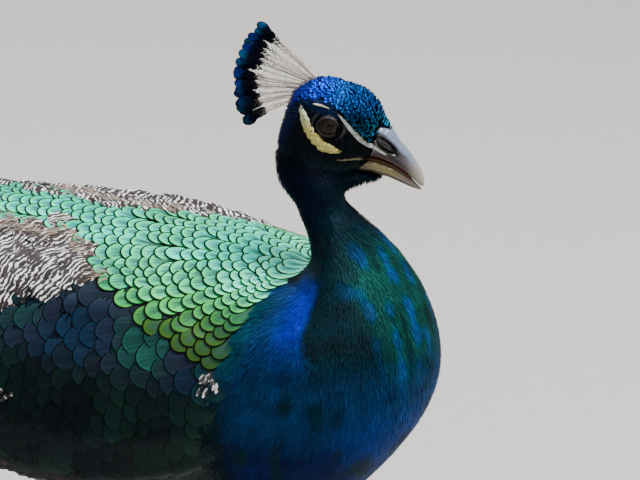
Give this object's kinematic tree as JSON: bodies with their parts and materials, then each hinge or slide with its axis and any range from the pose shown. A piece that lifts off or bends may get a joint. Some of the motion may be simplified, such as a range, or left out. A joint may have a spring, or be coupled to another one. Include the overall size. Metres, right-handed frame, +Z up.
{
  "type": "peacock",
  "caption": "Life-size still model of a standing male Indian peafowl with folded wings, raised crest and its long train lying behind it on the floor.",
  "frame": {"origin": "on the floor, under the middle of the bounding box", "axes": "the bird faces -Y, its train runs to +Y, its left side is +X, up is +Z"},
  "size_m": [0.2896, 1.912, 0.5797],
  "materials": {
    "neck_plumage": "fine hair-like feathers, deep blue with a green sheen",
    "back_plumage": "scale feathers, gold-green with thin black rims",
    "wing_plumage": "buff coverts barred with dark brown",
    "flight_plumage": "blackish secondaries, matt",
    "primary_plumage": "chestnut primaries, matt",
    "thigh_plumage": "soft buff feathers, matt",
    "train_plumage": "long bronze-green feathers with eye spots",
    "tail_plumage": "stiff brown feathers, matt",
    "horn": "bill and claws, smooth satin horn",
    "leg_skin": "scaly grey-brown skin",
    "eye": "wet dark brown iris, high gloss"
  },
  "bodies": {
    "root": {"head": "neck_plumage", "neck_upper": "neck_plumage", "neck_middle": "neck_plumage", "neck_lower": "neck_plumage", "breast": "neck_plumage", "crest": "neck_plumage", "back": "back_plumage", "rump": "back_plumage", "wing_coverts_left": "wing_plumage", "wing_coverts_right": "wing_plumage", "wing_secondaries_left": "flight_plumage", "wing_secondaries_right": "flight_plumage", "wing_primaries_left": "primary_plumage", "wing_primaries_right": "primary_plumage", "thigh_left": "thigh_plumage", "thigh_right": "thigh_plumage", "train_root": "train_plumage", "train_upper": "train_plumage", "train_middle": "train_plumage", "train_lower": "train_plumage", "train_end": "train_plumage", "tail": "tail_plumage", "bill_upper": "horn", "bill_lower": "horn", "spur_left": "horn", "spur_right": "horn", "claw_middle_left": "horn", "claw_middle_right": "horn", "claw_inner_left": "horn", "claw_inner_right": "horn", "claw_outer_left": "horn", "claw_outer_right": "horn", "claw_hind_left": "horn", "claw_hind_right": "horn", "shank_left": "leg_skin", "shank_right": "leg_skin", "foot_left": "leg_skin", "foot_right": "leg_skin", "eye_left": "eye", "eye_right": "eye"}
  },
  "joints": []
}
